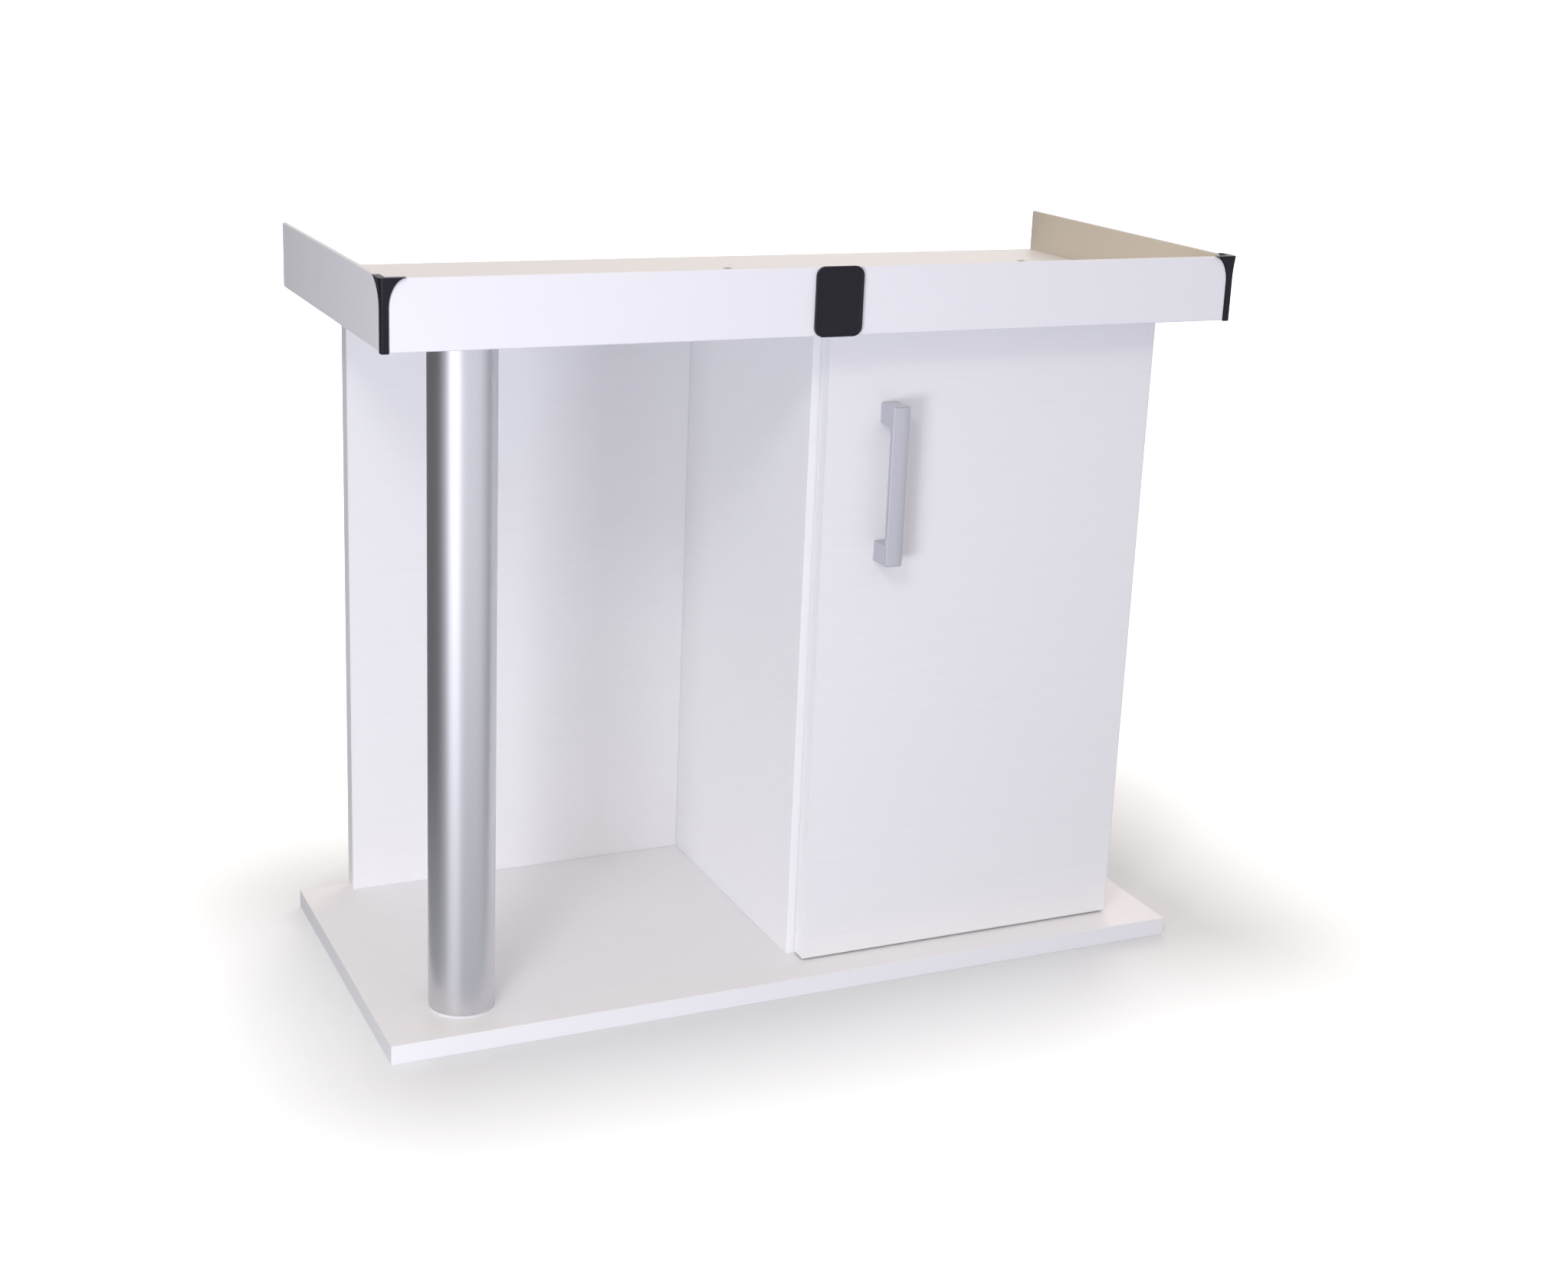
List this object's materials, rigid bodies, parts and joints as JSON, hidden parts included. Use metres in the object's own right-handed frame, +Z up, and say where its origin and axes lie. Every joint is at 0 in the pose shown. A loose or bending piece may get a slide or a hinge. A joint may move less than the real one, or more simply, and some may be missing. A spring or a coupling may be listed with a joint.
{
  "type": "aquarium stand",
  "caption": "Cabinet stand for an aquarium: an open bay, a cupboard with a hinged door, a round leg under one corner and a low rim round the top.",
  "frame": {"origin": "on the floor, under the middle of the bounding box", "axes": "+X to the right seen from the front, -Y out of the front (the door's side), +Z up"},
  "size_m": [0.814, 0.357, 0.6885],
  "materials": {
    "white_board": "white melamine-faced chipboard, satin, edges banded",
    "white_trim": "white, semi-gloss, with a cream inner face",
    "black_plastic": "black, glossy",
    "leg_metal": "satin silver tube",
    "handle_metal": "satin silver bar",
    "screw_steel": "bright zinc plated",
    "hinge_steel": "nickel plated",
    "dowel_wood": "plain beech",
    "hardboard": "thin hardboard, white lacquered face, bare brown rear",
    "fitting_plastic": "white, matt",
    "leg_plug_plastic": "light grey, matt",
    "magnet": "dark ferrite block",
    "bumper_rubber": "soft, milky"
  },
  "bodies": {
    "stand": {"base_board": "white_board", "top_board": "white_board", "back_panel": "white_board", "partition": "white_board", "side_panel": "white_board", "top_screws": "screw_steel", "base_screws": "screw_steel", "partition_screws": "screw_steel", "joint_dowels": "dowel_wood", "cupboard_back": "hardboard", "back_nails": "screw_steel", "shelf": "white_board", "shelf_pins": "screw_steel", "catch_body": "fitting_plastic", "catch_magnet": "magnet", "catch_screws": "screw_steel", "board_leaves": "hinge_steel", "board_leaf_screws": "screw_steel", "pivot_pins": "hinge_steel", "pivot_washers": "fitting_plastic", "leg_tube": "leg_metal", "leg_foot": "leg_plug_plastic", "leg_head": "leg_plug_plastic", "leg_screws": "screw_steel", "front_trim": "white_trim", "left_trim": "white_trim", "right_trim": "white_trim", "left_corner": "black_plastic", "right_corner": "black_plastic", "badge_plate": "black_plastic"},
    "door": {"door": "white_board", "handle": "handle_metal", "handle_screws": "screw_steel", "strike_plate": "hinge_steel", "strike_screw": "screw_steel", "door_bumpers": "bumper_rubber", "door_leaves": "hinge_steel", "door_leaf_screws": "screw_steel"}
  },
  "joints": [
    {"name": "door_swing", "type": "hinge", "parent": "stand", "child": "door", "pos_m": [0.346, -0.1295, 0.3235], "axis": [0, 0, 1], "range_deg": [0, 110]}
  ]
}
